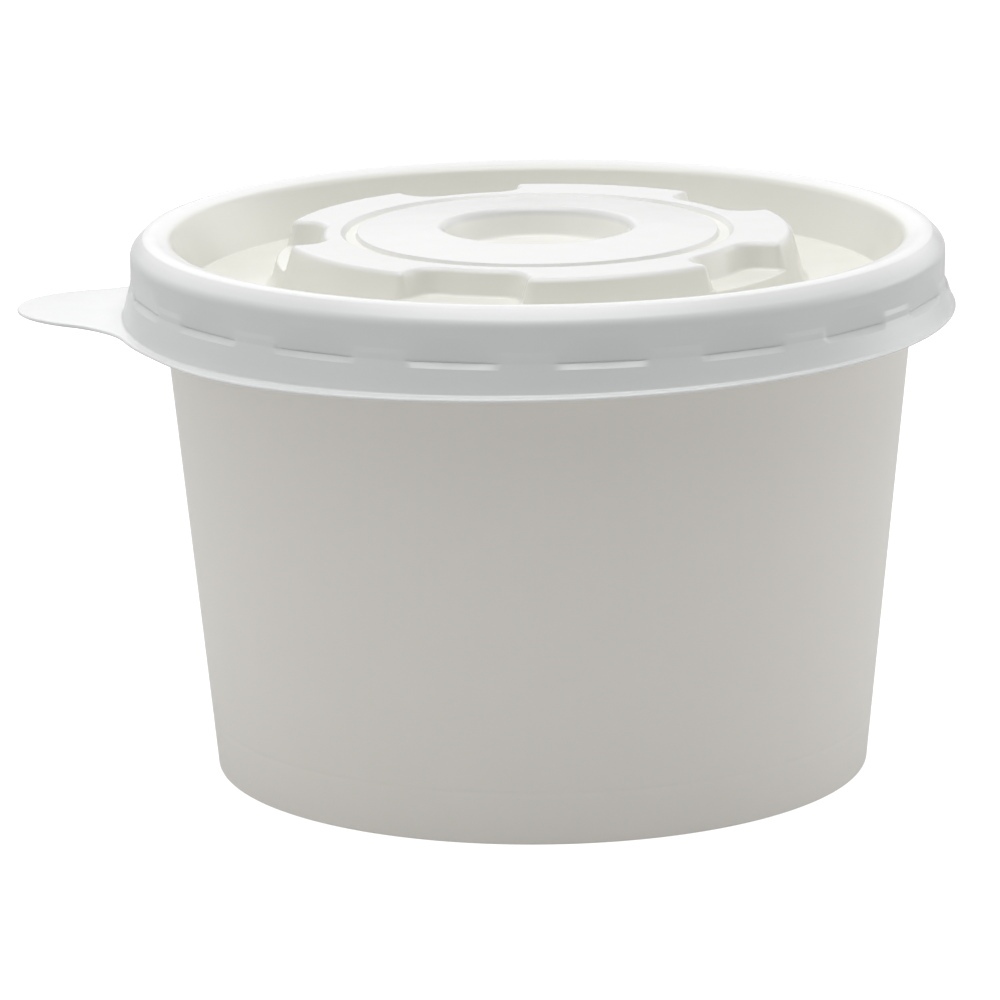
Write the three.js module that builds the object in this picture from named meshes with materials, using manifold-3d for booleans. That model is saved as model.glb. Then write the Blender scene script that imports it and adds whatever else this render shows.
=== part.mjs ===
// A round takeaway soup container: a squat paper cup and its press-on plastic lid.
// Millimetres, +Z up. The base ring stands on z = 0 and the lid's pull tab points along -X.

import * as THREE from 'three';
import * as BufferGeometryUtils from 'three/addons/utils/BufferGeometryUtils.js';
import Module from 'manifold-3d';

// ---- driving dimensions: cup ----------------------------------------------------------
const SEGMENTS = 54;                // facets round the axis, three for each snap lug
const BASE_RADIUS = 46.9;           // outside of the standing ring
const WALL_TAPER = 0.098;           // the wall leans out by this much for each mm of height
const RING_THICKNESS = 1.5;         // wall and skirt of the base disc, folded together
const RING_CHAMFER = 0.25;
const BASE_RECESS = 7.0;            // height of the base disc above the table
const RIM_RADIUS = 57.05;           // outside of the rolled rim
const RIM_ROLL = 1.9;               // radius of the roll's own section
const RIM_TOP = 76.75;
const WALL_THICKNESS = 0.5;
const FILL_TOP = 69.1;              // the shut cup is solid up to here, just under the lid

// ---- driving dimensions: lid ----------------------------------------------------------
const SHEET = 0.5;                  // thickness of the formed plastic sheet
const LIP_TOP = 66.05;              // upper face of the flat lip round the skirt
const CREASE_RADIUS = 59.3;         // where the skirt meets the lip
const SKIRT_TOP_Z = 71.2;
const BEAD_RADIUS = 58.0;           // straight outer wall of the bead
const BEAD_TOP = 77.65;
const BEAD_CROWN_RADIUS = 55.2;
const BEAD_INNER_RADIUS = 52.0;
const MOAT_FLOOR = 70.0;
const MOAT_OUTER_RADIUS = 49.6;
const PLATFORM_TOP = 77.5;
const PLATFORM_RADIUS = 36.1;       // at the top edge of the lobes
const PLATFORM_FOOT = 38.3;         // where the lobes' drafted wall meets the moat
const GROOVE_OUTER = 28.0;
const GROOVE_INNER = 25.65;
const GROOVE_DEPTH = 0.7;
const WELL_RADIUS = 14.1;           // at the mouth
const WELL_FOOT = 13.1;
const WELL_LIP = 78.2;              // the middle disc rises gently to this
const WELL_FLOOR = 74.0;

const LIP_RADIUS = 60.95;           // the lip is trimmed to a circle...
const LIP_SHIFT = 2.3;              // ...that sits this far towards the tab
const LIP_LEAST = 0.35;             // what is left of the lip on the far side
const TAB_REACH = 74.9;             // tip of the pull tab, from the axis
const SHOULDER_ANGLE = 52;          // degrees each side of the tab where the lip starts to narrow
const NECK_ANGLE = 30;              // where it is narrowest, before it runs out into the tab
const NECK_RADIUS = 60.4;
const TAB_SIDE = { reach: 66.5, half: 12.2 };

const NOTCHES = 5;
const NOTCH_TURN = 41.5;            // degrees from +X to the first notch
const NOTCH_HALF_ANGLE = 14.2;
const NOTCH_BACK = 31.2;            // radius of the back wall at its foot
const NOTCH_FLOOR = 73.75;
const NOTCH_CORNER = 3.0;
const NOTCH_DRAFT = 1.08;           // growth of the notch's outline from foot to top

const LUGS = 18;
const LUG_TURN = 2.6;               // degrees from +X to the first lug
const LUG_WIDTH = 12.4;
const LUG_TAPER = 0.84;             // the back of a lug is this much narrower than its mouth
const LUG_BACK = 57.3;              // distance of the lug's deepest line from the axis
const LUG_FOOT = 69.45;
const LUG_TOP = 73.6;
const LEDGE_DROP = 1.05;            // the ledge falls by this much on its way out

const PAPER = new THREE.MeshStandardMaterial({ color: 0xe9e7e2, roughness: 0.62, metalness: 0 });
const PLASTIC = new THREE.MeshStandardMaterial({ color: 0xeef0ee, roughness: 0.32, metalness: 0 });

const wasm = await Module();
wasm.setup();

// ---- helpers --------------------------------------------------------------------------
const radians = THREE.MathUtils.degToRad;

/** A closed three.js geometry as a solid that can be joined and cut. */
function toSolid(geometry) {
  const bare = geometry.index ? geometry.toNonIndexed() : geometry.clone();
  bare.deleteAttribute('normal');
  bare.deleteAttribute('uv');
  const merged = BufferGeometryUtils.mergeVertices(bare, 1e-4);
  return new wasm.Manifold(new wasm.Mesh({
    numProp: 3,
    vertProperties: new Float32Array(merged.attributes.position.array),
    triVerts: new Uint32Array(merged.index.array),
  }));
}

/** A solid back as a three.js geometry. */
function toGeometry(solid) {
  const mesh = solid.getMesh();
  const geometry = new THREE.BufferGeometry();
  geometry.setAttribute('position', new THREE.BufferAttribute(mesh.vertProperties, mesh.numProp));
  geometry.setIndex(new THREE.BufferAttribute(mesh.triVerts, 1));
  return geometry;
}

/** Turns a profile of [radius, height] pairs about Z. It starts and ends on the axis. */
function turned(profile) {
  const points = profile.map(([radius, height]) => new THREE.Vector2(radius, height));
  return new THREE.LatheGeometry(points, SEGMENTS).rotateX(Math.PI / 2);
}

/** A profile moved to its right-hand side by a distance, with mitred corners. */
function inset(profile, distance) {
  const points = profile.map(([radius, height]) => new THREE.Vector2(radius, height));
  const normals = points.slice(1).map((point, i) => {
    const along = point.clone().sub(points[i]).normalize();
    return new THREE.Vector2(along.y, -along.x);
  });
  return points.map((point, i) => {
    const before = normals[Math.max(i - 1, 0)];
    const after = normals[Math.min(i, normals.length - 1)];
    const middle = before.clone().add(after).normalize();
    const moved = point.clone().addScaledVector(middle, distance / middle.dot(after));
    return [Math.max(moved.x, 0), moved.y];
  });
}

/** Moves each corner of a geometry with a function of its own position. */
function reshape(geometry, move) {
  const { position } = geometry.attributes;
  const corner = new THREE.Vector3();
  for (let i = 0; i < position.count; i += 1) {
    corner.fromBufferAttribute(position, i);
    move(corner);
    position.setXYZ(i, corner.x, corner.y, corner.z);
  }
  return geometry;
}

/** Cuts the same tool out of a body at equal turns about Z. */
function cutRound(body, tool, count, firstTurn) {
  let result = body;
  for (let i = 0; i < count; i += 1) {
    const turn = radians(firstTurn + (i * 360) / count);
    result = result.subtract(toSolid(tool.clone().rotateZ(turn)));
  }
  return result;
}

// ---- cup ------------------------------------------------------------------------------
const wallRadius = (height) => BASE_RADIUS + WALL_TAPER * height;

/** The rolled rim's section, from the foot of the roll outside to its inner side. */
function rimRoll() {
  const centre = [RIM_RADIUS - RIM_ROLL, RIM_TOP - RIM_ROLL];
  return [-110, -60, -15, 30, 75, 120, 165].map((degrees) => [
    centre[0] + RIM_ROLL * Math.cos(radians(degrees)),
    centre[1] + RIM_ROLL * Math.sin(radians(degrees)),
  ]);
}

function cup() {
  const ringInner = BASE_RADIUS - RING_THICKNESS;
  const rollFoot = RIM_TOP - 2 * RIM_ROLL;
  return turned([
    [0, BASE_RECESS],
    [ringInner, BASE_RECESS],
    [ringInner, RING_CHAMFER],
    [ringInner + RING_CHAMFER, 0],
    [BASE_RADIUS - RING_CHAMFER, 0],
    [BASE_RADIUS, RING_CHAMFER],
    [wallRadius(rollFoot - 0.5), rollFoot - 0.5],
    ...rimRoll(),
    [wallRadius(FILL_TOP) - WALL_THICKNESS, FILL_TOP],
    [0, FILL_TOP],
  ]);
}

// ---- lid ------------------------------------------------------------------------------
/** The lid's upper face, from the middle of the well out to the crease at the lip. */
function lidFace() {
  const grooveFloor = PLATFORM_TOP - GROOVE_DEPTH;
  return [
    [0, WELL_FLOOR],
    [WELL_FOOT, WELL_FLOOR],
    [WELL_RADIUS, WELL_LIP],
    [GROOVE_INNER, PLATFORM_TOP],
    [GROOVE_INNER + 0.25, grooveFloor],
    [GROOVE_OUTER - 0.7, grooveFloor],
    [GROOVE_OUTER, PLATFORM_TOP],
    [PLATFORM_RADIUS - 0.6, PLATFORM_TOP],
    [PLATFORM_RADIUS + 0.1, PLATFORM_TOP - 0.6],
    [PLATFORM_FOOT - 0.3, MOAT_FLOOR + 0.7],
    [PLATFORM_FOOT + 0.5, MOAT_FLOOR],
    [MOAT_OUTER_RADIUS - 0.7, MOAT_FLOOR],
    [MOAT_OUTER_RADIUS + 0.2, MOAT_FLOOR + 0.7],
    [BEAD_INNER_RADIUS - 0.2, BEAD_TOP - 1.8],
    [BEAD_INNER_RADIUS + 0.8, BEAD_TOP - 0.5],
    [BEAD_CROWN_RADIUS - 1.0, BEAD_TOP],
    [BEAD_CROWN_RADIUS + 1.0, BEAD_TOP - 0.1],
    [BEAD_RADIUS - 0.7, BEAD_TOP - 0.9],
    [BEAD_RADIUS, BEAD_TOP - 2.2],
    [BEAD_RADIUS, SKIRT_TOP_Z + 0.3],
    [BEAD_RADIUS + 0.35, SKIRT_TOP_Z],
    [CREASE_RADIUS, LIP_TOP],
  ];
}

/** A pocket cut into the platform's edge, drafted so that it widens towards the top. */
function notchTool(clearance) {
  const mouth = PLATFORM_FOOT + 4;
  const back = NOTCH_BACK - clearance;
  const corner = NOTCH_CORNER + clearance;
  const slope = Math.tan(radians(NOTCH_HALF_ANGLE));
  const side = (radius) => radius * slope + clearance;
  const outline = new THREE.Shape();
  outline.moveTo(mouth, -side(mouth));
  outline.lineTo(mouth, side(mouth));
  outline.lineTo(back + corner, side(back + corner));
  outline.quadraticCurveTo(back, side(back), back, side(back) - corner);
  outline.lineTo(back, -side(back) + corner);
  outline.quadraticCurveTo(back, -side(back), back + corner, -side(back + corner));
  const foot = NOTCH_FLOOR - clearance;
  const height = WELL_LIP + 2 - foot;
  const tool = new THREE.ExtrudeGeometry(outline, { depth: height, bevelEnabled: false, curveSegments: 4 });
  reshape(tool, (corner3) => {
    if (corner3.z > 0) {
      corner3.x = mouth - (mouth - corner3.x) * NOTCH_DRAFT;
      corner3.y *= NOTCH_DRAFT;
    }
  });
  return tool.translate(0, 0, foot);
}

/** A snap lug: a panel that leans in down to a crease, above a ledge that slopes back out. */
function lugTool(clearance) {
  const reach = 3;
  const height = LUG_TOP - LUG_FOOT;
  const lean = (BEAD_RADIUS - LUG_BACK) * (height / (height - LEDGE_DROP));
  const tool = new THREE.BoxGeometry(reach, LUG_WIDTH + 2 * clearance, height);
  tool.translate(reach / 2, 0, height / 2);
  reshape(tool, (corner) => {
    const top = corner.z > 0;
    if (corner.x === 0) {
      corner.y *= LUG_TAPER;
      corner.x = top ? lean : 0;
      corner.z += top ? 0 : LEDGE_DROP;
    }
  });
  return tool.translate(LUG_BACK - clearance, 0, LUG_FOOT - 0.7 * clearance);
}

/** The space under a face of the lid, down to a flat underside, with its notches and lugs. */
function lidForm(face, underside, clearance) {
  const outermost = face[face.length - 1][0];
  const body = toSolid(turned([...face, [outermost, underside], [0, underside]].reverse()));
  const notched = cutRound(body, notchTool(clearance), NOTCHES, NOTCH_TURN);
  return cutRound(notched, lugTool(clearance), LUGS, LUG_TURN);
}

/** The flat lip in plan: an off-centre circle that narrows to a neck and runs out into the tab. */
function lipOutline() {
  const polar = (radius, angle) => new THREE.Vector2(radius * Math.cos(angle), radius * Math.sin(angle));
  const turn = radians(180 - SHOULDER_ANGLE);
  const neckTurn = radians(180 - NECK_ANGLE);
  const side = new THREE.Vector2(-TAB_SIDE.reach, TAB_SIDE.half);
  const shoulder = polar(LIP_RADIUS, turn).add(new THREE.Vector2(-LIP_SHIFT, 0));
  const neck = polar(NECK_RADIUS, neckTurn);
  const alongNeck = polar(1, neckTurn + Math.PI / 2);
  const curves = [
    [polar(2.5, turn + Math.PI / 2).add(shoulder), neck.clone().addScaledVector(alongNeck, -10.5), neck],
    [neck.clone().addScaledVector(alongNeck, 11.5), new THREE.Vector2(4.9, 1.1).add(side), side],
    [new THREE.Vector2(-4.6, -2.3).add(side), new THREE.Vector2(-TAB_REACH, TAB_SIDE.half / 2),
      new THREE.Vector2(-TAB_REACH, 0)],
  ];
  const outline = new THREE.Shape();
  outline.absarc(-LIP_SHIFT, 0, LIP_RADIUS, -turn, turn, false);
  for (const [leave, arrive, end] of curves) {
    outline.bezierCurveTo(leave.x, leave.y, arrive.x, arrive.y, end.x, end.y);
  }
  const starts = [shoulder, neck, side];
  for (const [i, [leave, arrive]] of [...curves.entries()].reverse()) {
    outline.bezierCurveTo(arrive.x, -arrive.y, leave.x, -leave.y, starts[i].x, -starts[i].y);
  }
  return outline;
}

function lid() {
  const face = lidFace();
  const underside = LIP_TOP - SHEET;
  const flat = { depth: SHEET, bevelEnabled: false, curveSegments: SEGMENTS / 2 };
  const trimmedLip = new THREE.ExtrudeGeometry(lipOutline(), flat).translate(0, 0, underside);
  const leastLip = turned([
    [0, underside],
    [CREASE_RADIUS + LIP_LEAST, underside],
    [CREASE_RADIUS + LIP_LEAST, LIP_TOP],
    [0, LIP_TOP],
  ]);
  const outside = lidForm(face, underside, 0).add(toSolid(trimmedLip)).add(toSolid(leastLip));
  const inside = lidForm(inset(face, SHEET), underside - 5, SHEET);
  return toGeometry(outside.subtract(inside));
}

// ---- the container --------------------------------------------------------------------
const container = new THREE.Group();
const pieces = [['cup', cup(), PAPER], ['lid', lid(), PLASTIC]];
for (const [name, geometry, material] of pieces) {
  const mesh = new THREE.Mesh(geometry, material);
  mesh.name = name;
  container.add(mesh);
}
container.position.x = (TAB_REACH - CREASE_RADIUS - LIP_LEAST) / 2;

export default container;
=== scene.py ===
"""A round takeaway soup container, shut: a squat paper cup under a press-on lid of formed plastic.

Metres, +Z up. The base ring stands on z = 0 and the lid's pull tab points along -X. The two pieces
are shaped in millimetres round their own axis and then brought to their place in the frame.
"""
import math
from collections import namedtuple

import bmesh
import bpy
from mathutils import Matrix, Quaternion, Vector
from mathutils.geometry import interpolate_bezier


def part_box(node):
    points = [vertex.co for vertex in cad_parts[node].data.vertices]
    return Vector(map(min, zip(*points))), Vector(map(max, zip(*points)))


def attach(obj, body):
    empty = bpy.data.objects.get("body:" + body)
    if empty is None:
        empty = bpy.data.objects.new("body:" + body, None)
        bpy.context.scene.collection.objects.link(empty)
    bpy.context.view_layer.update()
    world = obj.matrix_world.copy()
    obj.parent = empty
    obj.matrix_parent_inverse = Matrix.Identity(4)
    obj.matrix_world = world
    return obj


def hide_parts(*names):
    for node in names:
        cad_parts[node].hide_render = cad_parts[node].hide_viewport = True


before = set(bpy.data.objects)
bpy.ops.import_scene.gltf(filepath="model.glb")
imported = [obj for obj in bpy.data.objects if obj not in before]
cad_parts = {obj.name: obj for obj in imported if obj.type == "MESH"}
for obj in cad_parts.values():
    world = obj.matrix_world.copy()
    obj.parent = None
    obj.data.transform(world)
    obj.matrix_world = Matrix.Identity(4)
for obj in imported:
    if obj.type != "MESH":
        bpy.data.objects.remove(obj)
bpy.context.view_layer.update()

# ---- places taken from the frame ------------------------------------------------------------
MM = 0.001
cup_low, cup_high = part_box("cup")
lid_low, lid_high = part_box("lid")
AXIS_X = (cup_low.x + cup_high.x) / 2
RIM_TOP = cup_high.z / MM
LIP_UNDER = lid_low.z / MM
WELL_LIP = lid_high.z / MM
TAB_REACH = (AXIS_X - lid_low.x) / MM       # tip of the pull tab, from the axis

# ---- driving sizes of the lid, in millimetres -----------------------------------------------
SHEET = 0.5
LIP_TOP = LIP_UNDER + SHEET
WELL_FLOOR = WELL_LIP - 4.2
PLATFORM_TOP = WELL_LIP - 0.7
GROOVE_FLOOR = PLATFORM_TOP - 0.7
NOTCH_FLOOR = PLATFORM_TOP - 3.75
MOAT_FLOOR = PLATFORM_TOP - 7.5
PLATFORM_EDGE = 36.1                        # radius of the lobes' top edge
WALL_DRAFT = 0.286                          # the platform's walls lean out this much for each mm down
PLATFORM_FOOT = PLATFORM_EDGE + WALL_DRAFT * (PLATFORM_TOP - MOAT_FLOOR)
NOTCH_RIM = PLATFORM_EDGE + WALL_DRAFT * (PLATFORM_TOP - NOTCH_FLOOR)
BEAD = 58.0                                 # outside of the bead and of the plain skirt
CREASE = 59.3                               # where the flared skirt turns out into the lip
KINK_Z, SWELL = 70.3, 0.22                  # the flare starts here, this far outside the bead

NOTCHES, NOTCH_TURN = 5, 41.5
NOTCH_HALF = 14.6                           # degrees from a notch's middle to its side wall
NOTCH_BACK = 30.45
NOTCH_CORNER, LOBE_CORNER = 4.0, 0.8        # inner and outer corners of the notch in plan

LUGS, LUG_TURN = 18, 2.6
LUG_TOP, LUG_CREASE, LUG_FOOT = 73.6, 70.2, 69.45
LUG_CHORD = 6.6                             # half the width of a lug's flat face at its crease
LUG_BACK = math.sqrt(BEAD ** 2 - LUG_CHORD ** 2)
CREASE_HALF, CREASE_END = 7.0, 1.6          # half a lug at its crease, of which this much closes its end
LEDGE_HALF, LEDGE_END = 6.9, 2.4            # the same at the foot of its ledge
CREASE_RING, LEDGE_RING = 12, 16            # rings of a lug's section at its crease and its foot

TAB_NECK = 20.5                             # degrees each side of the tab where its curve leaves the lip
# The flat lip's width outside the crease, by degrees from the tab.
LIP_WIDTH = [(0, 1.5), (TAB_NECK, 1.45), (33, 1.2), (44, 2.15), (58, 2.6), (85, 1.9), (110, 1.5), (135, 0.85),
             (165, 0.25), (180, 0.2)]
TAB_SIDE_REACH, TAB_SIDE_HALF = 66.5, 12.2  # a point of its side: out along it, and across
EDGE_ROUNDING = 0.24
SAG = 0.75                                  # the skirt's foot hangs this much lower at the tab's side

COLUMNS = 540                               # points round the lid: 30 for a lug, 108 for a notch
LUG_COLUMNS = COLUMNS // LUGS
NOTCH_COLUMNS = COLUMNS // NOTCHES

# ---- driving sizes of the cup, in millimetres -----------------------------------------------
BASE_RADIUS = 46.9
WALL_TAPER = 0.098                          # the wall leans out this much for each mm up
RING_THICKNESS = 1.5                        # of the folded ring that the cup stands on
BASE_RECESS = 7.0                           # height of the base inside that ring
RIM_ROLL = 1.9                              # radius of the rolled rim's section
ROLL_OUT = 1.15                             # its middle stands this far outside the wall
BOARD = 0.5                                 # thickness of the board
FILL_TOP = 69.1                             # the body is full up to here, under the lid
CRIMP_Z = 7.5                               # a faint line is pressed round the wall here
SEAM_TURN = 112.0                           # degrees round to the lap seam, at the back
SEAM_STEP, SEAM_RUN = 0.28, 9.0             # height of its edge, and how far round it fades
SEAM_GAP = 0.002                            # radians that the seam's edge takes up
CUP_COLUMNS = 360


# ---- profiles -------------------------------------------------------------------------------
# A corner of a profile: radius, height, its fillet and the steps of the fillet's arc, and how
# many points the straight run after it gets.
Corner = namedtuple("Corner", "r z fillet steps run", defaults=(0.0, 1, 0))


def direction(start, end):
    return Vector((end.r - start.r, end.z - start.z)).normalized()


def turning(before, after):
    """Signed angle from one direction to the next, positive to the left."""
    return math.atan2(before.x * after.y - before.y * after.x, before.dot(after))


def fillet_arc(before, corner, after):
    """The points of the arc that rounds a corner off."""
    here = Vector((corner.r, corner.z))
    inward, onward = direction(before, corner), direction(corner, after)
    turn = turning(inward, onward)
    start = here - inward * corner.fillet * math.tan(abs(turn) / 2)
    left = Vector((-inward.y, inward.x)) * math.copysign(corner.fillet, turn)
    centre = start + left
    return [centre + Matrix.Rotation(turn * k / corner.steps, 2) @ (start - centre)
            for k in range(corner.steps + 1)]


def arcs(corners):
    """The arc of every corner between the two ends of a profile."""
    return [fillet_arc(*three) for three in zip(corners, corners[1:], corners[2:])]


def profile(corners):
    """All the points of a profile, ends included."""
    first, last = corners[0], corners[-1]
    stretches = [[Vector((first.r, first.z))], *arcs(corners), [Vector((last.r, last.z))]]
    points = []
    for corner, stretch, following in zip(corners, stretches, stretches[1:]):
        points += stretch
        points += [stretch[-1].lerp(following[0], (k + 1) / (corner.run + 1)) for k in range(corner.run)]
    return points + stretches[-1]


def underside(corners, depth, coarser=1):
    """The same profile on the far side of a sheet: corners mitred, fillets grown or shrunk."""
    if not depth:
        return corners
    ways = [direction(a, b) for a, b in zip(corners, corners[1:])]
    moved = []
    for i, corner in enumerate(corners):
        inward, onward = ways[max(i - 1, 0)], ways[min(i, len(ways) - 1)]
        turn = turning(inward, onward)
        middle = (inward + onward).normalized()
        shift = Vector((middle.y, -middle.x)) * depth / math.cos(turn / 2)
        fillet = max(corner.fillet + math.copysign(depth, turn), 0) if corner.fillet else 0
        moved.append(corner._replace(r=max(corner.r + shift.x, 0), z=corner.z + shift.y, fillet=fillet,
                                     steps=max(corner.steps // coarser, 1)))
    return moved


# ---- points round the lid -------------------------------------------------------------------
def polar(radius, angle, height):
    return Vector((radius * math.cos(angle), radius * math.sin(angle), height))


def stepped(value, table):
    """Straight-line reading of a table of (input, output) pairs."""
    for (a, low), (b, high) in zip(table, table[1:]):
        if value <= b:
            return low + (high - low) * (value - a) / (b - a)
    return table[-1][1]


def flowing(value, table):
    """Smooth reading of a table of (input, output) pairs, through every pair."""
    slopes = [0.0, *[(c[1] - a[1]) / (c[0] - a[0]) for a, c in zip(table, table[2:])], 0.0]
    for k, ((a, low), (b, high)) in enumerate(zip(table, table[1:])):
        if value <= b:
            t, span = (value - a) / (b - a), b - a
            bend = slopes[k] * t * (1 - t) ** 2 - slopes[k + 1] * t * t * (1 - t)
            return low * (1 + 2 * t) * (1 - t) ** 2 + high * t * t * (3 - 2 * t) + span * bend
    return table[-1][1]


# Columns crowd together at the ends of each lug: column from the lug's middle, degrees.
LUG_SPREAD = [(0, 0.0), (4, 4.6), (13, 7.6), (LUG_COLUMNS / 2, 180 / LUGS)]


def skirt_place(column):
    """Angle of a column round the skirt, and its angle from the middle of the nearest lug."""
    lug = (column + LUG_COLUMNS // 2) // LUG_COLUMNS
    step = column - lug * LUG_COLUMNS
    offset = math.radians(math.copysign(stepped(abs(step), LUG_SPREAD), step))
    return math.radians(LUG_TURN + lug * 360 / LUGS) + offset, offset


SKIRT = [skirt_place(column) for column in range(COLUMNS)]

# Columns of half a notch, from its middle: end of the back wall, of the inner corner, of the
# side wall, of the outer corner, and the middle of the lobe.
BACK_END, INNER_END, SIDE_END, OUTER_END, LOBE_END = 10, 19, 24, 31, NOTCH_COLUMNS // 2
FIRST_NOTCH = round((NOTCH_TURN - LUG_TURN) / 360 * COLUMNS)


def notch_place(column):
    """Angle of the middle of the nearest notch, and the column counted from there."""
    shifted = column - FIRST_NOTCH + LOBE_END
    notch = shifted // NOTCH_COLUMNS
    return math.radians(NOTCH_TURN + notch * 360 / NOTCHES), shifted - notch * NOTCH_COLUMNS - LOBE_END


NOTCH = [notch_place(column) for column in range(COLUMNS)]
SIDE = math.radians(NOTCH_HALF)
SIDE_WAY = Vector((math.cos(SIDE), math.sin(SIDE)))
SIDE_NORMAL = Vector((-math.sin(SIDE), math.cos(SIDE)))


def corner_centre(reach, offset):
    """A corner's centre: at a distance from the axis, and to one side of the side wall."""
    return SIDE_WAY * math.sqrt(reach ** 2 - offset ** 2) + SIDE_NORMAL * offset


INNER_CENTRE = corner_centre(NOTCH_BACK + NOTCH_CORNER, -NOTCH_CORNER)
OUTER_CENTRE = corner_centre(PLATFORM_EDGE - LOBE_CORNER, LOBE_CORNER)
INNER_ANGLE = math.atan2(INNER_CENTRE.y, INNER_CENTRE.x)
OUTER_ANGLE = math.atan2(OUTER_CENTRE.y, OUTER_CENTRE.x)


def share(value, start, end):
    return (value - start) / (end - start)


def half_outline(grow, step):
    """Half of the platform's outline from the middle of a notch, grown outwards by a distance."""
    def around(centre, radius, angle):
        return centre + radius * Vector((math.cos(angle), math.sin(angle)))

    inner, outer = NOTCH_CORNER - grow, LOBE_CORNER + grow
    if step <= BACK_END:
        return around(Vector((0, 0)), NOTCH_BACK + grow, INNER_ANGLE * step / BACK_END)
    if step <= INNER_END:
        start, end = INNER_ANGLE + math.pi, SIDE + math.pi / 2
        return around(INNER_CENTRE, inner, start + (end - start) * share(step, BACK_END, INNER_END))
    if step <= SIDE_END:
        start = INNER_CENTRE + SIDE_NORMAL * inner
        end = OUTER_CENTRE - SIDE_NORMAL * outer
        return start.lerp(end, share(step, INNER_END, SIDE_END))
    if step <= OUTER_END:
        start, end = SIDE - math.pi / 2, OUTER_ANGLE
        return around(OUTER_CENTRE, outer, start + (end - start) * share(step, SIDE_END, OUTER_END))
    return around(Vector((0, 0)), PLATFORM_EDGE + grow, lobe_angle(step))


def lobe_angle(step):
    return OUTER_ANGLE + (math.pi / NOTCHES - OUTER_ANGLE) * share(step, OUTER_END, LOBE_END)


def on_outline(grow, height, column):
    """A point of the platform's outline, with its notches."""
    middle, step = NOTCH[column]
    point = half_outline(grow, abs(step))
    if step < 0:
        point.y = -point.y
    return Vector((*(Matrix.Rotation(middle, 2) @ point), height))


def platform_angle(column):
    """Angle of a column where the platform's wall is a plain round one, below the notches."""
    middle, step = NOTCH[column]
    local = lobe_angle(abs(step)) if abs(step) > OUTER_END else OUTER_ANGLE * abs(step) / OUTER_END
    return middle + math.copysign(local, step)


# Inside the notches the columns keep behind the side walls: column from the notch's middle, degrees.
MIDDLE_SPREAD = [(0, 0.0), (BACK_END, 7.9), (INNER_END, 15.6), (SIDE_END, 18.2), (OUTER_END, 21.2),
                 (LOBE_END, 180 / NOTCHES)]


def middle_angle(column):
    middle, step = NOTCH[column]
    return middle + math.radians(math.copysign(stepped(abs(step), MIDDLE_SPREAD), step))


# ---- rings of the lid, from the middle of the well out to the lip ---------------------------
def ring(point, angle):
    return lambda column: polar(point.x, angle(column), point.y)


def middle_rings(depth):
    """The well, the gently rising disc round it and the ring groove."""
    corners = [
        Corner(0, WELL_FLOOR, run=1),
        Corner(12.6, WELL_FLOOR, 0.7, 4, 1),
        Corner(13.55, WELL_LIP, 1.1, 7, 1),
        Corner(25.65, PLATFORM_TOP, 0.16, 3),
        Corner(25.9, GROOVE_FLOOR, 0.15, 2),
        Corner(27.3, GROOVE_FLOOR, 0.3, 3),
        Corner(28.0, PLATFORM_TOP, 0.3, 3),
        Corner(29.0, PLATFORM_TOP),
    ]
    return [ring(point, middle_angle) for point in profile(underside(corners, depth, 2))[:-1]]


def notched_ring(wall, foot, rim, pull, spread):
    """A ring below the notches' floor line on the lobes, and across that floor in the notches.

    wall is the height on the lobes; in a notch the ring lies between the points foot, on the
    outline's section, and rim, on the round rim of the floor, a share pull of the way across.
    spread shrinks the fillets to nothing where a notch runs out into the lobe's wall."""
    def place(column):
        middle, step = NOTCH[column]
        if abs(step) > OUTER_END:
            return polar(wall.x, platform_angle(column), wall.y)
        fade = min(1.0, 1.4 * (1 - share(abs(step), SIDE_END, OUTER_END)))
        near = spread.foot.lerp(foot, fade)
        far = spread.rim.lerp(rim, fade)
        inside = on_outline(near.x, near.y, column)
        outside = polar(far.x, platform_angle(column), far.y)
        return inside.lerp(outside, pull)
    return place


Spread = namedtuple("Spread", "foot rim")


def platform_rings(depth):
    """The platform's rounded edge, its drafted walls and the notches' floors."""
    fall = PLATFORM_TOP - NOTCH_FLOOR
    section = underside([
        Corner(-5, PLATFORM_TOP),
        Corner(0, PLATFORM_TOP, 1.0, 6, 1),
        Corner(WALL_DRAFT * fall, NOTCH_FLOOR, 0.6, 4),
        Corner(WALL_DRAFT * fall + 3, NOTCH_FLOOR),
    ], depth)
    rim_section = underside([
        Corner(NOTCH_RIM - 3, NOTCH_FLOOR),
        Corner(NOTCH_RIM, NOTCH_FLOOR, 0.35, 3),
        Corner(PLATFORM_FOOT, MOAT_FLOOR, 0.9, 4),
        Corner(PLATFORM_FOOT + 5, MOAT_FLOOR),
    ], depth)
    edge, foot = arcs(section)
    rim, base = arcs(rim_section)
    spread = Spread(Vector((section[2].r, section[2].z)), Vector((rim_section[1].r, rim_section[1].z)))
    shared = edge + [edge[-1].lerp(foot[0], 0.5)]
    rings = [lambda column, p=point: on_outline(p.x, p.y, column) for point in shared]
    across = [(point, rim[0], 0.0) for point in foot]
    across += [(foot[-1], rim[0], pull) for pull in (0.33, 0.67)]
    across += [(foot[-1], point, 1.0) for point in rim]
    wall_top = Vector((PLATFORM_EDGE, 0)) + foot[0]
    for k, (inner, outer, pull) in enumerate(across):
        wall = wall_top.lerp(base[0], (k + 0.5) / (len(across) + 1))
        rings.append(notched_ring(wall, inner, outer, pull, spread))
    return rings + [ring(point, platform_angle) for point in base]


def moat_angle(slide):
    """Columns slide from the notches' spacing to the lugs' as the moat's floor is crossed."""
    return lambda column: platform_angle(column) * (1 - slide) + SKIRT[column][0] * slide


def skirt_angle(column):
    return SKIRT[column][0]


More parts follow.
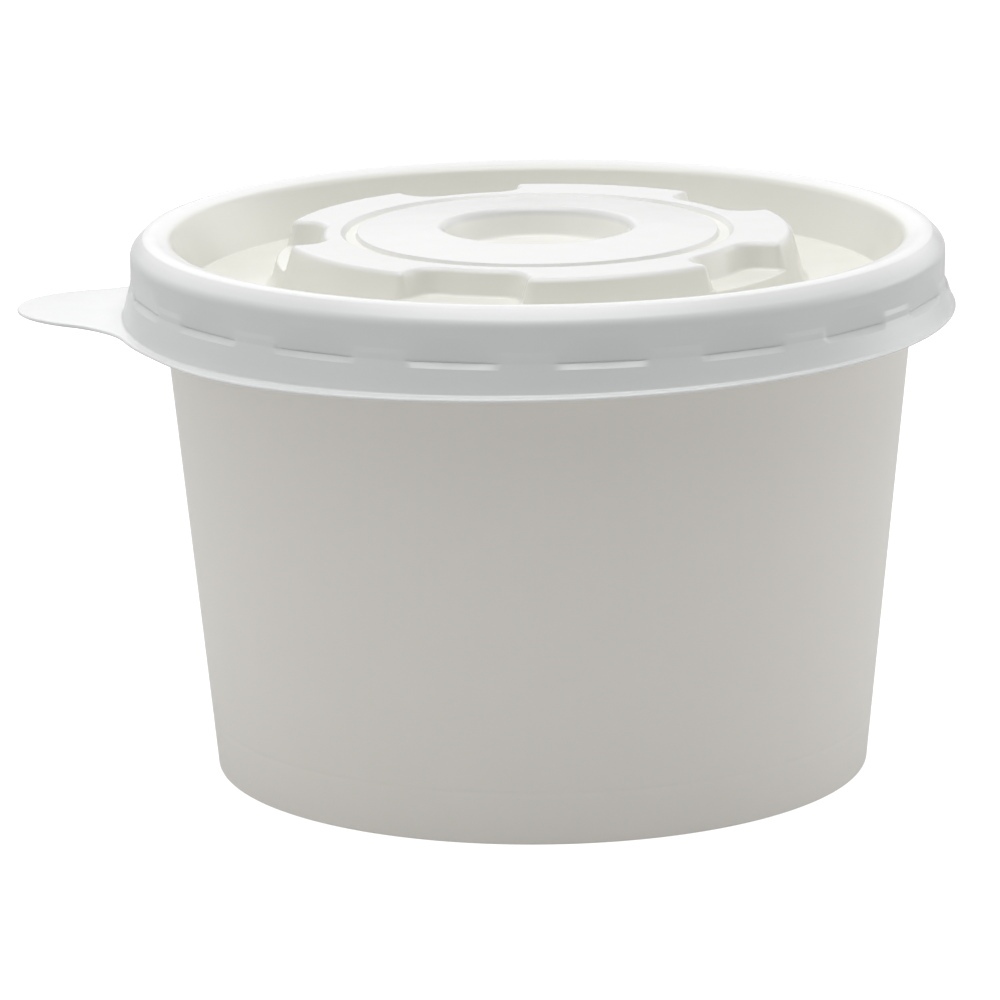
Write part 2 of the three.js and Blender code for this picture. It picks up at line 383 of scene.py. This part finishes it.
def bead_rings(depth):
    """The moat's floor and outer wall, and the crowned bead over the cup's rim."""
    corners = underside([
        Corner(PLATFORM_FOOT, MOAT_FLOOR),
        Corner(49.6, MOAT_FLOOR, 0.4, 3, 1),
        Corner(52.2, 77.05, 1.5, 6),
        Corner(55.1, 77.85, 3.0, 5),
        Corner(56.2, 77.42, 0.6, 3),
        Corner(BEAD, 75.6, 2.0, 8),
        Corner(BEAD, LUG_TOP),
    ], depth, 2)
    points = profile(corners)[1:-1]
    floor = Vector((PLATFORM_FOOT + 1.2, points[0].y))
    crossing = [ring(floor.lerp(points[0], slide), moat_angle(slide)) for slide in (0.3, 0.65)]
    return crossing + [ring(point, skirt_angle) for point in points]


def flare_radius(height):
    start = BEAD + SWELL
    return start + (CREASE - start) * (KINK_Z - height) / (KINK_Z - LIP_TOP)


def soft_least(a, b, blend):
    """The lesser of two values, with a rounded change from one to the other."""
    h = min(max(0.5 + 0.5 * (b - a) / blend, 0), 1)
    return b + (a - b) * h - blend * h * (1 - h)


def smooth(value):
    value = min(max(value, 0), 1)
    return value * value * (3 - 2 * value)


def lug_ring(index, plain, lug):
    """A ring that follows the lug's section across a lug, and the plain skirt's between lugs.

    Down to the crease a lug's face is flat, so that it meets the round skirt in an arch. The
    ledge below it turns from flat to round on its way out, and gets narrower."""
    past = min(max(share(index, CREASE_RING, LEDGE_RING), 0), 1)
    half = CREASE_HALF + (LEDGE_HALF - CREASE_HALF) * past
    end = CREASE_END + (LEDGE_END - CREASE_END) * past

    def place(column):
        angle, offset = SKIRT[column]
        surface = lug.x * (1 + (1 - past) * (1 / math.cos(offset) - 1))
        if index <= CREASE_RING:
            surface = soft_least(plain.x, surface, 0.05)
        pressed = smooth((half - abs(offset) * BEAD) / end)
        return polar(plain.x + (surface - plain.x) * pressed, angle,
                     plain.y + (lug.y - plain.y) * pressed)
    return place


def skirt_rings(depth):
    """The skirt, with a small double step round it and the snap lugs pressed in."""
    lug_section = underside([
        Corner(BEAD, LUG_TOP + 2),
        Corner(BEAD, LUG_TOP, 0.8, 3, 2),
        Corner(LUG_BACK + 0.03, LUG_CREASE + 0.25, 0.05, 1),
        Corner(LUG_BACK - 0.15, LUG_CREASE, 0.06, 4, 3),
        Corner(flare_radius(LUG_FOOT), LUG_FOOT, 0.16, 3),
        Corner(CREASE, LIP_TOP),
    ], depth)
    plain_section = underside([
        Corner(BEAD, LUG_TOP + 2),
        Corner(BEAD, LUG_TOP, 0.8, 3),
        Corner(BEAD, 71.8, 0.8, 1),
        Corner(BEAD + SWELL - 0.02, 71.1, 0.8, 1),
        Corner(BEAD + SWELL, KINK_Z, 0.8, 4, 3),
        Corner(flare_radius(LUG_FOOT), LUG_FOOT, 0.22, 3),
        Corner(CREASE, LIP_TOP),
    ], depth)
    pairs = zip(profile(plain_section)[1:-1], profile(lug_section)[1:-1])
    return [lug_ring(index, plain, lug) for index, (plain, lug) in enumerate(pairs)]


def tab_outline():
    """The tab's edge as (angle from its middle line, radius) pairs, from the tip to the neck."""
    leave = polar(CREASE + flowing(TAB_NECK, LIP_WIDTH), math.radians(180 - TAB_NECK), 0)
    side = Vector((-TAB_SIDE_REACH, TAB_SIDE_HALF, 0))
    tip = Vector((-TAB_REACH, 0, 0))
    rounded = interpolate_bezier(tip, tip + Vector((0, TAB_SIDE_HALF / 2, 0)),
                                 side + Vector((-4.6, -2.3, 0)), side, 24)
    hollow = interpolate_bezier(side, side + Vector((3.0, 0.9, 0)),
                                leave + Vector((-1.6, -4.2, 0)), leave, 24)
    return [(math.atan2(p.y, -p.x), p.length) for p in [*rounded, *hollow[1:]]]


TAB = tab_outline()


def lip_edge(angle):
    """Radius of the trimmed edge, which runs out into the pull tab."""
    from_tab = abs(math.remainder(angle - math.pi, math.tau))
    if from_tab < TAB[-1][0]:
        return stepped(from_tab, TAB)
    return CREASE + flowing(math.degrees(from_tab), LIP_WIDTH)


def sag(angle):
    """How far the foot of the skirt lies below or above its mean height, level at the tab itself."""
    from_tab = abs(math.remainder(angle - math.pi, math.tau))
    return -SAG * math.cos(from_tab) * smooth(from_tab / math.radians(40))


def lip_rings(depth):
    """The foot of the skirt, its curl outwards and the flat lip up to the edge's rounding."""
    corners = underside([
        Corner(flare_radius(LUG_FOOT - 0.3), LUG_FOOT - 0.3, run=2),
        Corner(CREASE, LIP_TOP, 0.35, 4, 2),
        Corner(TAB_REACH, LIP_TOP),
    ], depth)
    flare = profile(corners)[1:3]
    curl = arcs(corners)[0]

    def hanging(ring_at, pull):
        return lambda column: ring_at(column) + Vector((0, 0, pull * sag(skirt_angle(column))))

    heights = [tuple(point) for point in curl]

    def trimmed(point, pull):
        def place(column):
            angle = skirt_angle(column)
            reach = lip_edge(angle) - EDGE_ROUNDING
            kept = min(1, (reach - curl[0].x) / (curl[-1].x - curl[0].x))
            radius = curl[0].x + (point.x - curl[0].x) * kept
            radius += (reach - radius) * pull
            return polar(radius, angle, stepped(radius, heights))
        return place

    foot = [trimmed(point, 0) for point in curl] + [trimmed(curl[-1], pull) for pull in (0.33, 0.67, 1.0)]
    hung = [hanging(ring(point, skirt_angle), pull) for point, pull in zip(flare, (0.35, 0.7))]
    return hung + [hanging(ring_at, 1) for ring_at in foot]


def edge_rings(top, bottom):
    """The cut edge of the lip, slightly rounded above and below."""
    def place(out, drop):
        def at(column):
            high, low = top(column), bottom(column)
            start, turn = (high, -1) if drop < 0.5 else (low, 1)
            step = EDGE_ROUNDING * (drop if drop < 0.5 else 1 - drop) * 4
            outward = Vector((start.x, start.y, 0)).normalized() * EDGE_ROUNDING * out
            return start + outward + Vector((0, 0, turn * step))
        return at
    return [place(0.7, 0.075), place(1.0, 0.25), place(1.0, 0.75), place(0.7, 0.925)]


# ---- spun skins -----------------------------------------------------------------------------
def spun(rings, columns):
    """A closed skin: a row of points is spun flat round the axis, then each ring is laid in place.

    rings[i](column) is the place of a point of ring i. A ring on the axis closes to a pole."""
    skin = bmesh.new()
    points = [skin.verts.new((index + 1, 0, 0)) for index in range(len(rings))]
    edges = [skin.edges.new(pair) for pair in zip(points, points[1:])]
    bmesh.ops.spin(skin, geom=points + edges, cent=(0, 0, 0), axis=(0, 0, 1), angle=math.tau,
                   steps=columns, use_merge=True)
    for vert in skin.verts:
        index = round(vert.co.xy.length) - 1
        column = round(math.atan2(vert.co.y, vert.co.x) / math.tau * columns) % columns
        vert.co = rings[index](column)
    bmesh.ops.remove_doubles(skin, verts=skin.verts, dist=0.004)
    bmesh.ops.recalc_face_normals(skin, faces=skin.faces)
    return skin


def piece(name, skin, finish, node):
    """Brings a skin to its place in the frame, as a piece that stands for a CAD node."""
    place = Matrix.Translation((AXIS_X, 0, 0)) @ Matrix.Scale(MM, 4)
    bmesh.ops.transform(skin, matrix=place, verts=skin.verts)
    for face in skin.faces:
        face.smooth = True
    mesh = bpy.data.meshes.new(name)
    skin.to_mesh(mesh)
    skin.free()
    mesh.materials.append(finish)
    shown = bpy.data.objects.new(name, mesh)
    bpy.context.scene.collection.objects.link(shown)
    even = shown.modifiers.new("even_shading", "WEIGHTED_NORMAL")
    even.mode = "FACE_AREA_WITH_ANGLE"
    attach(shown, "root")
    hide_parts(node)


def lid_skin():
    def face(depth):
        return [*middle_rings(depth), *platform_rings(depth), *bead_rings(depth),
                *skirt_rings(depth), *lip_rings(depth)]
    above, below = face(0), face(SHEET)
    return spun([*above, *edge_rings(above[-1], below[-1]), *reversed(below)], COLUMNS)


# ---- cup ------------------------------------------------------------------------------------
def wall_radius(height):
    return BASE_RADIUS + WALL_TAPER * height


def seam_rise(turn):
    """How far the wall stands out after a share of a turn past the lap seam's edge."""
    return SEAM_STEP * (1 - smooth(turn * math.tau * BASE_RADIUS / SEAM_RUN))


def cup_ring(point):
    """A ring of the cup. The board laps over itself at the seam, on the outside of the wall."""
    outside = point.x > wall_radius(point.y) - RING_THICKNESS / 2 and point.y < RIM_TOP - 2 * RIM_ROLL
    covered = smooth(point.y / 1.5) if outside else 0

    def place(column):
        turn = column / (CUP_COLUMNS - 1)
        angle = math.radians(SEAM_TURN) + turn * (math.tau - SEAM_GAP)
        return polar(point.x + covered * seam_rise(turn), angle, point.y)
    return place


def cup_skin():
    """The cup as one closed body, full up to just under the lid and recessed underneath."""
    flap = BASE_RADIUS - RING_THICKNESS
    foot = RIM_TOP - 2 * RIM_ROLL
    roll = Vector((wall_radius(foot) + ROLL_OUT, RIM_TOP - RIM_ROLL))
    start = [
        Corner(0, BASE_RECESS, run=3),
        Corner(flap + BOARD, BASE_RECESS, 0.5, 4),
        Corner(flap + BOARD, BASE_RECESS - 1.5, 0.12, 2),
        Corner(flap, BASE_RECESS - 1.6, 0.15, 3, 1),
        Corner(flap, 0, 0.6, 5),
        Corner(BASE_RADIUS, 0, 0.45, 5, 1),
        Corner(wall_radius(CRIMP_Z - 0.7), CRIMP_Z - 0.7, 0.6, 2),
        Corner(wall_radius(CRIMP_Z) - 0.05, CRIMP_Z, 0.6, 3),
        Corner(wall_radius(CRIMP_Z + 0.5), CRIMP_Z + 0.5, 0.4, 3, 9),
        Corner(wall_radius(foot), foot),
    ]
    rim = [roll + RIM_ROLL * Vector((math.cos(math.radians(a)), math.sin(math.radians(a))))
           for a in range(-100, 181, 20)]
    inner = wall_radius(FILL_TOP) - BOARD
    points = [*profile(start), *rim, Vector((inner, FILL_TOP + 1)), Vector((inner, FILL_TOP)),
              Vector((inner / 2, FILL_TOP)), Vector((0, FILL_TOP))]
    return spun([cup_ring(point) for point in points], CUP_COLUMNS)


# ---- finishes -------------------------------------------------------------------------------
def node_group(name, inputs, outputs):
    """An empty shader node group with its sockets, and its input and output nodes."""
    group = bpy.data.node_groups.new(name, "ShaderNodeTree")
    for socket, kind, value in inputs:
        made = group.interface.new_socket(socket, in_out="INPUT", socket_type=kind)
        if value is not None:
            made.default_value = value
    for socket, kind in outputs:
        group.interface.new_socket(socket, in_out="OUTPUT", socket_type=kind)
    return group, group.nodes.new("NodeGroupInput"), group.nodes.new("NodeGroupOutput")


def add(tree, kind, settings=(), **values):
    """A node with its settings, and its input sockets set or linked by name."""
    node = tree.nodes.new(kind)
    for name, value in dict(settings).items():
        setattr(node, name, value)
    for name, value in values.items():
        socket = node.inputs[name.replace("_", " ")]
        if isinstance(value, bpy.types.NodeSocket):
            tree.links.new(value, socket)
        else:
            socket.default_value = value
    return node


def fine_grain_group():
    """Fine grain for the bump, and a slow mottle for tone and gloss, both from 0 to 1."""
    group, start, end = node_group(
        "fine_grain",
        [("Position", "NodeSocketVector", None), ("Grain Scale", "NodeSocketFloat", 1500.0),
         ("Mottle Scale", "NodeSocketFloat", 60.0)],
        [("Grain", "NodeSocketFloat"), ("Mottle", "NodeSocketFloat")])
    for socket, detail in (("Grain", 4.0), ("Mottle", 2.0)):
        noise = add(group, "ShaderNodeTexNoise", Vector=start.outputs["Position"],
                    Scale=start.outputs[f"{socket} Scale"], Detail=detail, Roughness=0.6)
        group.links.new(noise.outputs["Fac"], end.inputs[socket])
    return group


def slow_wave_group():
    """Broad, shallow unevenness of a formed or rolled wall, as a height."""
    group, start, end = node_group(
        "slow_wave",
        [("Position", "NodeSocketVector", None), ("Wave Scale", "NodeSocketFloat", 30.0)],
        [("Height", "NodeSocketFloat")])
    noise = add(group, "ShaderNodeTexNoise", Vector=start.outputs["Position"],
                Scale=start.outputs["Wave Scale"], Detail=1.0, Roughness=0.4)
    group.links.new(noise.outputs["Fac"], end.inputs["Height"])
    return group


def inside_group():
    """A mask that is 1 near the axis of a round piece and falls to 0 outside a radius in metres."""
    group, start, end = node_group(
        "inside",
        [("Position", "NodeSocketVector", None), ("Axis X", "NodeSocketFloat", 0.0),
         ("Full Radius", "NodeSocketFloat", 0.05), ("Outer Radius", "NodeSocketFloat", 0.06)],
        [("Mask", "NodeSocketFloat")])
    way = add(group, "ShaderNodeSeparateXYZ", Vector=start.outputs["Position"])
    out = add(group, "ShaderNodeMath", {"operation": "SUBTRACT"})
    group.links.new(way.outputs["X"], out.inputs[0])
    group.links.new(start.outputs["Axis X"], out.inputs[1])
    flat = add(group, "ShaderNodeCombineXYZ", X=out.outputs[0], Y=way.outputs["Y"], Z=0.0)
    radius = add(group, "ShaderNodeVectorMath", {"operation": "LENGTH"}, Vector=flat.outputs["Vector"])
    fade = add(group, "ShaderNodeMapRange", {"interpolation_type": "SMOOTHSTEP"},
               Value=radius.outputs["Value"], From_Min=start.outputs["Full Radius"],
               From_Max=start.outputs["Outer Radius"], To_Min=1.0, To_Max=0.0)
    group.links.new(fade.outputs["Result"], end.inputs["Mask"])
    return group


def placed(tree, group, **values):
    """A use of a node group, with its sockets set or linked by name."""
    return add(tree, "ShaderNodeGroup", {"node_tree": group}, **values)


def new_finish(name):
    """A material, its node tree and its surface shader."""
    material = bpy.data.materials.new(name)
    material.use_nodes = True
    return material, material.node_tree, material.node_tree.nodes["Principled BSDF"]


def own_position(tree):
    """The place on the piece itself, in metres."""
    return add(tree, "ShaderNodeTexCoord").outputs["Object"]


def two_tone(tree, factor, low, high):
    """A mix of two colours, each a plain colour or a socket, by a factor socket."""
    mix = add(tree, "ShaderNodeMix", {"data_type": "RGBA"})
    sides = [socket for socket in mix.inputs if socket.type == "RGBA"]
    tree.links.new(factor, mix.inputs["Factor"])
    for socket, colour in zip(sides, (low, high)):
        if isinstance(colour, bpy.types.NodeSocket):
            tree.links.new(colour, socket)
        else:
            socket.default_value = (*colour, 1)
    return next(socket for socket in mix.outputs if socket.type == "RGBA")


def spread_value(tree, value, low, high):
    """Maps the middle of a noise's range onto low to high."""
    mapped = add(tree, "ShaderNodeMapRange", Value=value, From_Min=0.3, From_Max=0.7,
                 To_Min=low, To_Max=high)
    return mapped.outputs["Result"]


def relief(tree, heights):
    """A chain of bumps: (height socket, strength, distance in metres) each."""
    normal = None
    for height, strength, distance in heights:
        bump = add(tree, "ShaderNodeBump", Strength=strength, Distance=distance, Height=height)
        if normal:
            tree.links.new(normal, bump.inputs["Normal"])
        normal = bump.outputs["Normal"]
    return normal


fine_grain = fine_grain_group()
slow_wave = slow_wave_group()
inside = inside_group()


BOARD_TONES = (0.895, 0.865, 0.805), (0.92, 0.89, 0.83)


def coated_paper():
    """White cup board under a thin satin coating."""
    material, tree, shader = new_finish("coated_paper")
    position = own_position(tree)
    grain = placed(tree, fine_grain, Position=position, Grain_Scale=1400.0, Mottle_Scale=140.0)
    wave = placed(tree, slow_wave, Position=position, Wave_Scale=38.0)
    tree.links.new(two_tone(tree, grain.outputs["Mottle"], *BOARD_TONES), shader.inputs["Base Color"])
    tree.links.new(spread_value(tree, grain.outputs["Mottle"], 0.46, 0.54), shader.inputs["Roughness"])
    tree.links.new(relief(tree, [(grain.outputs["Grain"], 0.10, 0.0001),
                                 (wave.outputs["Height"], 0.15, 0.0006)]), shader.inputs["Normal"])
    shader.inputs["Coat Weight"].default_value = 0.45
    shader.inputs["Coat Roughness"].default_value = 0.28
    return material


# The sheet's colour has light and shade painted in by zone: its recesses and well are painted warmer and
# paler for the light that the sheet lets through, its crown paler as a painted highlight, and its skirt
# darker than its lip and top as painted shade.
# Each pair of colours is for the two ends of the mottle.
LIP_TONES = (0.81, 0.815, 0.815), (0.83, 0.835, 0.835)
SKIRT_PAINTED_SHADE_TONES = (0.735, 0.745, 0.745), (0.755, 0.765, 0.765)
CROWN_PAINTED_HIGHLIGHT_TONES = (0.88, 0.885, 0.88), (0.9, 0.905, 0.9)
RECESS_PAINTED_LIGHT_TONES = (0.835, 0.83, 0.775), (0.855, 0.85, 0.795)
WELL_PAINTED_LIGHT_TONES = (0.92, 0.915, 0.87), (0.94, 0.935, 0.89)
TOP_TONES = (0.805, 0.805, 0.8), (0.825, 0.825, 0.82)


def formed_plastic():
    """White plastic sheet, vacuum formed: satin, a little waxy, not quite even, with light and shade painted
    into its colour by zone.
    """
    material, tree, shader = new_finish("formed_plastic")
    position = own_position(tree)
    grain = placed(tree, fine_grain, Position=position, Grain_Scale=1100.0, Mottle_Scale=90.0)
    wave = placed(tree, slow_wave, Position=position, Wave_Scale=55.0)
    height = add(tree, "ShaderNodeSeparateXYZ", Vector=position).outputs["Z"]

    def tone(pair):
        return two_tone(tree, grain.outputs["Mottle"], *pair)

    def within(radius, outer, inner):
        mask = placed(tree, inside, Position=position, Axis_X=AXIS_X, Full_Radius=(radius - 0.5) * MM,
                      Outer_Radius=(radius + 0.5) * MM).outputs["Mask"]
        return two_tone(tree, mask, outer, inner)

    def above(low, high, under, over):
        rise = add(tree, "ShaderNodeMapRange", Value=height, From_Min=low * MM, From_Max=high * MM)
        return two_tone(tree, rise.outputs["Result"], under, over)

    # The skirt is painted darker as shade, and the bead's outer crown paler as a painted highlight.
    outside = above(75.4, 77.4, within(CREASE, tone(LIP_TONES), tone(SKIRT_PAINTED_SHADE_TONES)), tone(CROWN_PAINTED_HIGHLIGHT_TONES))
    # The recesses and the well are painted warmer and paler, as painted light let through the sheet and
    # thrown about its hollows.
    face = within(14.0, within(BEAD - 3.0, outside, tone(RECESS_PAINTED_LIGHT_TONES)), tone(WELL_PAINTED_LIGHT_TONES))
    # The bead's top is painted paler than the platform's top, as a painted highlight.
    tops = within(50.0, tone(CROWN_PAINTED_HIGHLIGHT_TONES), tone(TOP_TONES))
    tree.links.new(above(PLATFORM_TOP - 0.7, PLATFORM_TOP - 0.1, face, tops), shader.inputs["Base Color"])
    tree.links.new(spread_value(tree, grain.outputs["Mottle"], 0.2, 0.255), shader.inputs["Roughness"])
    tree.links.new(relief(tree, [(grain.outputs["Grain"], 0.05, 0.0001),
                                 (wave.outputs["Height"], 0.12, 0.0005)]), shader.inputs["Normal"])
    shader.inputs["IOR"].default_value = 1.49
    return material


piece("paper_cup", cup_skin(), coated_paper(), "cup")
piece("formed_lid", lid_skin(), formed_plastic(), "lid")


# ---- floor, light and camera ----------------------------------------------------------------
def floor():
    """A plain white floor that glows softly, more to the camera than to the container."""
    skin = bmesh.new()
    bmesh.ops.create_grid(skin, x_segments=1, y_segments=1, size=8.0)
    mesh = bpy.data.meshes.new("floor")
    skin.to_mesh(mesh)
    skin.free()
    white, tree, shader = new_finish("white_floor")
    shader.inputs["Base Color"].default_value = (0.4, 0.4, 0.4, 1)
    shader.inputs["Roughness"].default_value = 0.9
    shader.inputs["Specular IOR Level"].default_value = 0.1
    shader.inputs["Emission Color"].default_value = (1, 1, 1, 1)
    seen = add(tree, "ShaderNodeLightPath").outputs["Is Camera Ray"]
    lit = add(tree, "ShaderNodeMapRange", Value=seen, To_Min=0.27, To_Max=0.9)
    tree.links.new(lit.outputs["Result"], shader.inputs["Emission Strength"])
    mesh.materials.append(white)
    ground = bpy.data.objects.new("floor", mesh)
    bpy.context.scene.collection.objects.link(ground)


# Soft parts of the tent: the way each one lies, how nearly a ray has to go that way for the light
# to start and to be full (as the cosine of the angle between them), and how bright it is.
TENT = [
    ((0.0, 0.0, 1.0), 0.8, 1.0, 2.9),
    ((0.0, -0.4, 0.92), 0.8, 1.0, 0.9),
    ((0.0, 0.86, 0.5), 0.8, 1.0, 1.05),
    ((-1.0, 0.0, 0.2), 0.3, 1.0, 0.48),
    ((-0.7, 0.7, 0.2), 0.6, 1.0, 0.5),
    ((1.0, 0.0, 0.1), 0.3, 1.0, 0.42),
    ((1.0, 0.35, 0.0), 0.85, 1.0, 0.9),
    ((0.75, 0.66, 0.0), 0.8, 1.0, 1.15),
    ((-0.5, -0.7, 0.5), 0.6, 1.0, 0.2),
]


def light_tent():
    """A tent of soft light, dark in front of the container; the camera itself sees it white."""
    world = bpy.data.worlds.new("light_tent")
    world.use_nodes = True
    bpy.context.scene.world = world
    tree = world.node_tree
    background = tree.nodes["Background"]
    ray = add(tree, "ShaderNodeTexCoord").outputs["Generated"]
    total = add(tree, "ShaderNodeLightPath").outputs["Is Camera Ray"]
    for way, start, full, strength in TENT:
        along = add(tree, "ShaderNodeVectorMath", {"operation": "DOT_PRODUCT"})
        tree.links.new(ray, along.inputs[0])
        along.inputs[1].default_value = Vector(way).normalized()
        part = add(tree, "ShaderNodeMapRange", {"interpolation_type": "SMOOTHSTEP"},
                   Value=along.outputs["Value"], From_Min=start, From_Max=full, To_Min=0.0, To_Max=strength)
        joined = add(tree, "ShaderNodeMath", {"operation": "ADD"})
        tree.links.new(total, joined.inputs[0])
        tree.links.new(part.outputs["Result"], joined.inputs[1])
        total = joined.outputs[0]
    tree.links.new(total, background.inputs["Strength"])
    background.inputs["Color"].default_value = (1, 1, 1, 1)


def studio_camera():
    """The camera looks slightly down on the container from a little to the right of its front."""
    azimuth, elevation, roll = math.radians(4.2), math.radians(13.19), math.radians(-0.6)
    back = Vector((math.sin(azimuth) * math.cos(elevation), -math.cos(azimuth) * math.cos(elevation),
                   math.sin(elevation)))
    data = bpy.data.cameras.new("studio_camera")
    data.lens, data.sensor_width = 225.4, 36
    data.shift_x, data.shift_y = -0.0401, -0.0147
    camera = bpy.data.objects.new("studio_camera", data)
    camera.location = Vector((AXIS_X, 0, 0.040)) + back * 0.900
    camera.rotation_mode = "QUATERNION"
    camera.rotation_quaternion = (-back).to_track_quat("-Z", "Y") @ Quaternion((0, 0, 1), roll)
    bpy.context.scene.collection.objects.link(camera)
    bpy.context.scene.camera = camera


floor()
light_tent()
studio_camera()
bpy.context.scene.view_settings.view_transform = "Standard"
